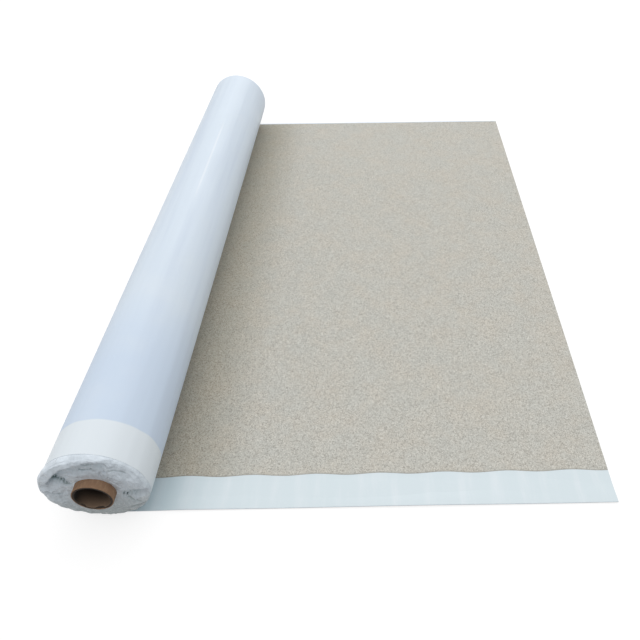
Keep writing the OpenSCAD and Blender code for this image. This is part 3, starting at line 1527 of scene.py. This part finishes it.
@dataclass
class EndFilm:
    """Spare film folded in over the near end of the roll and crumpled round the core.

    Attributes:
        sizes: Sizes of the stock.
        around: Faces round the core.
        inward: Faces from the rim in to the core.
        bare_edge: Width of the last turn's edge that shows outside the film.
        step_in: Angles between which the rim steps in by a turn, towards the laid sheet.
        collar_gap: Gap between the film and the core.
        thickness: Thickness of the film.
        merge: Distance within which its points are merged.
        spare: Length of film past the end of the roll, before it was folded in; not used.
        wander: How far the flaps' edges wander, as an angle.
        wander_pace: Pace of that.
        wobble: How far the folds wander from their lines, in millimetres.
        wobble_length: Distance over which they do so, in millimetres.
        wobble_seed: Seed of that wandering, which makes each run give the same film.
        plain_rim: Shares of the way in at which the folds start and are full.
        plain_collar: Share of the way out from the core over which they end.
        least_from: Share of the way in from which the film keeps off the roll's end.
        least_out: How far it keeps off, in millimetres.
        stations: The film's section at some angles, in order.
        pleats: The rows of pleats between the flaps.
        creases: The larger folds.
        crumples: The lumps, folds and crinkles all over it.
    """

    sizes: StockSizes
    around: int = 384
    inward: int = 96
    bare_edge: float = 0.15 * MM
    step_in: tuple[float, float] = (math.radians(235), math.radians(270))
    collar_gap: float = 0.4 * MM
    thickness: float = 0.15 * MM
    merge: float = 0.01 * MM
    spare: float = 85 * MM
    wander: float = math.radians(7)
    wander_pace: float = 4.3
    wobble: float = 2.5
    wobble_length: float = 14.0
    wobble_seed: int = 1
    plain_rim: tuple[float, float] = (0.03, 0.2)
    plain_collar: float = 0.12
    least_from: float = 0.1
    least_out: float = 0.5
    stations: tuple[FilmStation, ...] = (
        FilmStation(5, ((-0.004, 4.0), (0.01, 8.0), (0.04, 11.5), (0.08, 14.0), (0.18, 16.5),
                        (0.35, 18.0), (0.50, 18.5), (0.70, 18.0), (0.85, 16.5), (1.0, 14.0))),
        FilmStation(20, ((-0.004, 4.0), (0.005, 8.0), (0.03, 11.5), (0.10, 15.5), (0.20, 18.5),
                         (0.30, 19.0), (0.45, 19.0), (0.65, 18.0), (0.82, 16.5), (1.0, 14.0))),
        FilmStation(34, ((0.0, 2.5), (0.01, 5.0), (0.03, 7.0), (0.09, 10.5), (0.20, 14.5),
                         (0.32, 17.5), (0.42, 19.0), (0.60, 18.5), (0.80, 16.5), (1.0, 14.0))),
        FilmStation(48, ((0.0, 2.5), (0.01, 5.0), (0.03, 7.0), (0.08, 9.5), (0.16, 12.0),
                         (0.30, 14.5), (0.45, 17.0), (0.58, 18.5), (0.75, 17.0), (1.0, 14.0))),
        FilmStation(57, ((0.0, 2.5), (0.01, 5.0), (0.03, 7.5), (0.08, 10.5), (0.15, 13.0),
                         (0.26, 15.0), (0.40, 16.0), (0.55, 16.5), (0.75, 16.0), (1.0, 14.0))),
        FilmStation(66, ((-0.004, 3.5), (0.0, 6.0), (0.02, 8.5), (0.05, 10.0), (0.09, 10.0),
                         (0.13, 9.0), (0.20, 8.0), (0.45, 8.5), (0.72, 11.5), (1.0, 14.0))),
        FilmStation(77, ((-0.004, 5.0), (0.0, 10.0), (0.01, 13.5), (0.03, 16.0), (0.08, 17.5),
                         (0.10, 13.0), (0.15, 8.5), (0.42, 9.5), (0.72, 13.0), (1.0, 15.0))),
        FilmStation(92, ((-0.005, 6.0), (0.0, 11.5), (0.012, 16.0), (0.04, 19.5), (0.11, 21.5),
                         (0.125, 15.0), (0.17, 9.0), (0.44, 10.0), (0.72, 13.5), (1.0, 15.0))),
        FilmStation(110, ((-0.005, 6.0), (0.0, 12.0), (0.015, 17.0), (0.05, 21.0), (0.18, 24.5),
                          (0.195, 17.0), (0.24, 9.5), (0.48, 10.0), (0.74, 13.5), (1.0, 15.0))),
        FilmStation(126, ((-0.01, 6.0), (-0.005, 12.0), (0.01, 17.0), (0.05, 21.5), (0.23, 25.0),
                          (0.245, 17.0), (0.29, 9.5), (0.50, 10.0), (0.75, 13.0), (1.0, 14.5))),
        FilmStation(141, ((-0.03, 5.0), (-0.04, 10.0), (-0.02, 16.0), (0.04, 21.5), (0.25, 24.5),
                          (0.265, 15.0), (0.31, 6.5), (0.52, 8.0), (0.76, 11.0), (1.0, 14.0))),
        FilmStation(153, ((-0.05, 4.0), (-0.07, 9.0), (-0.05, 15.5), (0.01, 20.5), (0.20, 23.0),
                          (0.22, 13.0), (0.28, 4.5), (0.48, 5.5), (0.74, 9.0), (1.0, 14.0))),
        FilmStation(168, ((-0.05, 3.0), (-0.08, 9.0), (-0.04, 16.0), (0.08, 20.0), (0.22, 19.5),
                          (0.36, 17.5), (0.50, 16.0), (0.66, 14.5), (0.82, 14.0), (1.0, 14.0))),
        FilmStation(205, ((-0.04, 3.0), (-0.05, 9.0), (0.00, 15.0), (0.10, 18.5), (0.24, 19.0),
                          (0.40, 17.5), (0.55, 16.0), (0.70, 15.0), (0.85, 14.0), (1.0, 14.0))),
        FilmStation(240, ((-0.004, 2.5), (0.01, 5.5), (0.05, 8.5), (0.13, 10.5), (0.25, 11.5),
                          (0.40, 12.0), (0.55, 12.5), (0.70, 13.0), (0.85, 13.5), (1.0, 14.0))),
        FilmStation(290, ((-0.004, 2.0), (0.02, 4.5), (0.06, 7.0), (0.13, 9.0), (0.25, 10.5),
                          (0.40, 11.5), (0.55, 12.0), (0.70, 13.0), (0.85, 13.5), (1.0, 14.0))),
        FilmStation(326, ((-0.004, 3.0), (0.01, 6.0), (0.05, 8.5), (0.14, 10.5), (0.27, 11.5),
                          (0.40, 11.5), (0.52, 11.0), (0.66, 11.0), (0.82, 12.0), (1.0, 14.0))),
        FilmStation(358, ((-0.004, 3.0), (0.01, 5.5), (0.04, 7.5), (0.10, 7.5), (0.25, 5.0),
                          (0.40, 4.0), (0.52, 4.5), (0.66, 6.5), (0.82, 10.5), (1.0, 14.0))))
    pleats: tuple[Pleats, ...] = (
        Pleats(152, 42 * MM, 98 * MM, pitch=6.4 * MM, reach=5.5 * MM, depth=11.0),
        Pleats(338, 45 * MM, 72 * MM, pitch=5.6 * MM, reach=5 * MM, depth=10.0))
    creases: tuple[Crease, ...] = (
        Crease(((-12, 73), (1, 74), (14, 76)), -5.2, 2.3, 3.0),
        Crease(((-4, 89), (7, 88), (18, 89)), -5.2, 2.3, 3.0),
        Crease(((24, 66), (38, 78), (51, 86), (74, 94)), 3.5, 9.0, 6.0),
        Crease(((40, 70), (57, 74), (70, 70), (83, 61)), -3.0, 4.0, 3.0),
        Crease(((33, 91), (44, 93), (52, 86), (60, 83)), -2.4, 4.0, 4.0),
        Crease(((-84, 40), (-73, 35), (-64, 31), (-61, 22), (-49, 21), (-40, 25)), -6.0, 3.0, 3.0),
        Crease(((50, 53), (70, 47), (90, 40), (102, 29)), 1.8, 8.0, 6.0),
        Crease(((48, 2), (68, -8), (88, 0), (110, 5)), 2.5, 10.0, 4.0),
        Crease(((80, -31), (94, -26)), 9.0, 13.0, 13.0),
        Crease(((62, -34), (70, -46), (84, -54)), -4.0, 5.0, 5.0),
        Crease(((56, -60), (60, -67), (75, -58)), 3.5, 5.0, 5.0),
        Crease(((50, -78), (72, -72), (92, -60)), -3.5, 5.0, 5.0),
        Crease(((-58, 53), (-36, 58), (-14, 56)), 2.5, 6.0, 4.0),
        Crease(((-76, 16), (-68, 10), (-62, 2)), 2.5, 5.0, 5.0),
        Crease(((-108, 16), (-92, 9), (-80, 10)), 3.0, 5.0, 4.0),
        Crease(((-102, 3), (-88, -8), (-74, -10)), -3.5, 5.0, 5.0),
        Crease(((-98, -26), (-82, -36), (-70, -62)), 3.0, 6.0, 5.0))
    crumples: tuple[Crumple, ...] = (
        Crumple(2.4, around=6.5, inward=4.0, sharp=False),
        Crumple(3.4, around=3.4, inward=9.0, start=4.7),
        Crumple(2.2, around=15.0, inward=11.0, start=2.1))

    def rim(self, angle: float) -> float:
        """Finds the radius at which the film starts, on the edge of the roll's last turn.

        Args:
            angle: Angle round the core.

        Returns:
            The radius. The right half of a turn is wound about a higher centre than the left half.
        """
        gap = self.sizes.roll_radius - self.bare_edge
        turn = angle % math.tau
        if math.pi / 2 < turn < 3 * math.pi / 2:
            return gap - self.sizes.pitch * smooth_step(turn, *self.step_in)
        lift = self.sizes.pitch / 2
        right = math.sqrt((gap - lift) ** 2 - (lift * math.cos(turn)) ** 2)
        return right + lift * math.sin(turn)

    def section(self, angle: float, share: float) -> Vector:
        """Finds the film's section at an angle round the core.

        Args:
            angle: Angle from +X towards +Z.
            share: How far along the section, from the rim to the core.

        Returns:
            The share of the way in, and how far the film stands out in millimetres.
        """
        spot = Vector((math.cos(angle), math.sin(angle), share)) * self.wander_pace
        turn = math.degrees(angle + self.wander * noise.noise(spot)) % 360
        after = next((k for k, station in enumerate(self.stations) if station.angle > turn), 0)
        first, second = self.stations[after - 1], self.stations[after]
        part = smooth_step((turn - first.angle) % 360, 0.0, (second.angle - first.angle) % 360)
        return first.at(share).lerp(second.at(share), part)

    def relief(self, angle: float, radius: float) -> list[float]:
        """Finds the heights of the pleats and of the larger folds, in millimetres.

        Args:
            angle: Angle round the core, from +X towards +Z.
            radius: Distance from the core's axis.

        Returns:
            One height for each fold and each row of pleats.
        """
        spot = Vector((math.cos(angle), math.sin(angle))) * (radius / MM)
        spot += self.wobble * noise.noise_vector(spot.to_3d() / self.wobble_length).to_2d()
        folds = [crease.rise(spot) for crease in self.creases]
        return folds + [row.height(angle, radius) for row in self.pleats]

    def place(self, angle: float, share: float) -> tuple[Vector, float]:
        """Finds a point of the film.

        Args:
            angle: Angle round the core, from +X towards +Z.
            share: How far along the film, from the rim to the core.

        Returns:
            The point, and how deep in the valleys of the folds it lies, in millimetres.
        """
        sizes = self.sizes
        rim = self.rim(angle)
        collar = sizes.core_radius + self.collar_gap
        inward, out = self.section(angle, share)
        radius = rim + (collar - rim) * inward
        held = smooth_step(share, *self.plain_rim) * smooth_step(1 - share, 0.0, self.plain_collar)
        heights = self.relief(angle, radius)
        valley = -held * sum(min(0.0, height) for height in heights)
        crumpled = sum(crumple.rise(angle, share) for crumple in self.crumples)
        out += held * (crumpled + sum(heights))
        if share > self.least_from:
            out = max(out, self.least_out)
        spot = Vector((sizes.axis_x + radius * math.cos(angle), sizes.near_y - out * MM,
                       sizes.roll_radius + radius * math.sin(angle)))
        return spot, valley

    def build(self) -> Piece:
        """Builds the crumpled film.

        Returns:
            The film, as a thin closed sheet.
        """
        noise.seed_set(self.wobble_seed)
        piece = add_grid(self.around, self.inward)
        with editing(piece) as mesh:
            valleys = mesh.verts.layers.float.new(VALLEYS)
            for vert in mesh.verts:
                turn, share = grid_shares(vert)
                vert.co, vert[valleys] = self.place(turn * math.tau, share)
            bmesh.update_edit_mesh(piece.data)
            bpy.ops.mesh.select_all(action="SELECT")
            bpy.ops.mesh.remove_doubles(threshold=self.merge)
            face_outwards()
            for vert in mesh.verts:
                vert.select_set(not vert.is_boundary)
            bpy.ops.mesh.vertices_smooth(factor=0.5, repeat=1)
        apply_modifier(piece, "SOLIDIFY", thickness=self.thickness, offset=0.0)
        return piece

    def make(self) -> None:
        """Builds and dresses the end film."""
        material = EndFilmFinish(self.sizes).material()
        piece = dress(self.build(), "end_film_sheet", material, crease=50)
        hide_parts("end_film")


@dataclass(frozen=True)
class Dent:
    """A dent in the inner edge of the core's near mouth.

    Attributes:
        angle: Its angle round the core, from +X towards +Z.
        width: Half its width, as an angle.
        sink: Its depth along the core.
        steepness: Power of its sides, higher for steeper ones.
    """

    angle: float
    width: float
    sink: float
    steepness: int = 4

    def depth(self, angle: float) -> float:
        """Finds the dent's depth at an angle round the core."""
        return self.sink * math.exp(-((angle - self.angle) / self.width) ** self.steepness)


@dataclass
class CoreTube:
    """Cardboard core, standing out of both ends of the roll.

    Attributes:
        sizes: Sizes of the stock.
        sides: Sides of the tube.
        rounding: Rounding of its cut edges.
        rings: Distances from the near mouth at which its wall is cut for the dents.
        dents: The dents in the bottom of the near mouth.
        firm: Share of the wall, from the outside in, that the dents leave as it is.
    """

    sizes: StockSizes
    sides: int = 160
    rounding: float = 0.5 * MM
    rings: tuple[float, ...] = (2 * MM, 4 * MM, 7 * MM, 11 * MM)
    dents: tuple[Dent, ...] = (Dent(math.radians(222), math.radians(9), 3.0 * MM),
                               Dent(math.radians(278), math.radians(15), 5.0 * MM))
    firm: float = 0.35

    def build(self) -> Piece:
        """Builds the tube, with its dented near mouth.

        Returns:
            The tube.
        """
        sizes = self.sizes
        deselect_all()
        middle = (sizes.axis_x, (sizes.core_near + sizes.core_far) / 2, sizes.roll_radius)
        bpy.ops.mesh.primitive_cylinder_add(
            vertices=self.sides, radius=sizes.core_radius, depth=sizes.core_far - sizes.core_near,
            end_fill_type="NOTHING", location=middle, rotation=(math.pi / 2, 0, 0))
        piece = bpy.context.object
        bpy.ops.object.transform_apply(location=True, rotation=True, scale=True)
        with editing(piece):
            for ring in self.rings:
                bpy.ops.mesh.select_all(action="SELECT")
                bpy.ops.mesh.bisect(plane_co=(0, sizes.core_near + ring, 0), plane_no=(0, 1, 0))
            face_outwards()
        apply_modifier(piece, "SOLIDIFY", thickness=sizes.core_radius - sizes.bore_radius, offset=-1.0)
        apply_modifier(piece, "BEVEL", width=self.rounding, segments=2, limit_method="ANGLE")
        self.dent_mouth(piece)
        return piece

    def dent_mouth(self, piece: Piece) -> None:
        """Presses dents into the inner edge of the near mouth.

        Args:
            piece: The tube.
        """
        sizes, reach = self.sizes, self.rings[-1]
        wall = sizes.core_radius - sizes.bore_radius
        with editing(piece) as mesh:
            for vert in mesh.verts:
                depth = vert.co.y - sizes.core_near
                if depth > reach:
                    continue
                x, z = vert.co.x - sizes.axis_x, vert.co.z - sizes.roll_radius
                angle = math.atan2(z, x) % math.tau
                inner = smooth_step(sizes.core_radius - math.hypot(x, z), self.firm * wall, wall)
                vert.co.y += sum(dent.depth(angle) for dent in self.dents) * inner * (1 - depth / reach)
            bmesh.update_edit_mesh(piece.data)

    def make(self) -> None:
        """Builds and dresses the core."""
        piece = dress(self.build(), "core_board", BoardFinish(self.sizes).material(), crease=35)
        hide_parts("core_tube")


@dataclass
class Studio:
    """Pale floor, soft light and the camera.

    Attributes:
        floor_size: Side of the floor.
        floor_drop: How far the floor lies below the sheet, so that the two don't share a plane.
        white: Colour of the light, and of the room as the camera sees it.
        sky_low: Strength of the light from the dim side of the room.
        sky_high: Strength of the light from its bright side.
        sky_side: Direction of the bright side.
        sky_from: Lean towards that direction up to which the light is as on the dim side.
        key_power: Power of the large lamp, in watts.
        key_size: Side of that lamp.
        key_place: Where it hangs.
        eye: Where the camera is.
        yaw: Its turn to the right of +Y, in degrees.
        pitch: Its tilt below the horizon, in degrees.
        roll: Its turn about its own line of sight, in degrees.
        focal: Its focal length, in pixels.
        centre: The pixel that it points at.
        side: Side of the picture, in pixels.
        sensor: Width of its sensor, in millimetres.
    """

    floor_size: float = 40.0
    floor_drop: float = 0.3 * MM
    white: Colour = (1.0, 1.0, 1.0, 1.0)
    sky_low: float = 0.05
    sky_high: float = 1.26
    sky_side: Place = (-0.05, 0.4, 0.915)
    sky_from: float = -0.5
    key_power: float = 50.0
    key_size: float = 3.5
    key_place: Place = (0.2, 5.0, 3.4)
    eye: Place = (0.1014, -1.7728, 1.311)
    yaw: float = 0.56
    pitch: float = 42.68
    roll: float = -0.53
    focal: float = 625.4
    centre: Spot = (387.0, 318.0)
    side: float = 640.0
    sensor: float = 36.0

    def add_floor(self) -> None:
        """Adds the floor."""
        deselect_all()
        bpy.ops.mesh.primitive_plane_add(size=self.floor_size, location=(0, 0, -self.floor_drop))
        floor = bpy.context.object
        bpy.ops.object.transform_apply(location=True, rotation=True, scale=True)
        floor.name = "floor"
        floor.data.materials.append(FloorFinish().material())

    def add_sky(self) -> None:
        """Adds the light of the room, which the camera sees as white."""
        board = NodeBoard(bpy.data.worlds.new("studio"), "Background", "Generated")
        lean = board.add("ShaderNodeVectorMath", {0: board.place, 1: self.sky_side}, operation="DOT_PRODUCT")
        glow = board.add("ShaderNodeMapRange", {"Value": lean.outputs["Value"], "From Min": self.sky_from,
                                                "To Min": self.sky_low, "To Max": self.sky_high})
        strength = board.add("ShaderNodeMix", {"Factor": board.seen(), "A": glow.outputs["Result"], "B": 1.0})
        sky = board.finish(Color=self.white, Strength=strength.outputs["Result"])
        bpy.context.scene.world = sky

    def add_lamp(self) -> None:
        """Adds the large lamp."""
        lamp = bpy.data.lights.new("key", "AREA")
        lamp.energy = self.key_power
        lamp.size = self.key_size
        key = bpy.data.objects.new("key", lamp)
        key.location = self.key_place
        key.rotation_euler = (-Vector(self.key_place)).to_track_quat("-Z", "Y").to_euler()
        bpy.context.scene.collection.objects.link(key)

    def add_camera(self) -> None:
        """Adds the camera, at the photograph's viewing angle."""
        yaw, pitch, roll = (math.radians(angle) for angle in (self.yaw, self.pitch, self.roll))
        ahead = Vector((math.sin(yaw) * math.cos(pitch), math.cos(yaw) * math.cos(pitch), -math.sin(pitch)))
        right = Vector((math.cos(yaw), -math.sin(yaw), 0.0))
        turned = Matrix.Rotation(-roll, 3, ahead) @ Matrix((right, right.cross(ahead), -ahead)).transposed()
        lens = bpy.data.cameras.new("camera")
        lens.sensor_width = self.sensor
        lens.lens = self.sensor * self.focal / self.side
        lens.shift_x = 0.5 - self.centre[0] / self.side
        lens.shift_y = self.centre[1] / self.side - 0.5
        camera = bpy.data.objects.new("camera", lens)
        camera.matrix_world = Matrix.Translation(self.eye) @ turned.to_4x4()
        bpy.context.scene.collection.objects.link(camera)
        bpy.context.scene.camera = camera

    def make(self) -> None:
        """Sets up the whole studio."""
        self.add_floor()
        self.add_sky()
        self.add_lamp()
        self.add_camera()
        bpy.context.scene.view_settings.view_transform = "Standard"


def main() -> None:
    """Sets up the studio, then builds the roll in it piece by piece."""
    logging.basicConfig(level=logging.INFO, format="%(name)s: %(message)s")
    sizes = StockSizes.from_frame()
    winding = Winding(sizes)
    Studio().make()
    WoundSheet(sizes, winding).make()
    SandCoat(sizes, sizes.sand, along=200, across=330, winding=winding).make()
    LapStrip(sizes, sizes.lap_film, along=180, across=14).make()
    CoreTube(sizes).make()
    EndFilm(sizes).make()


if __name__ == "__main__":
    main()
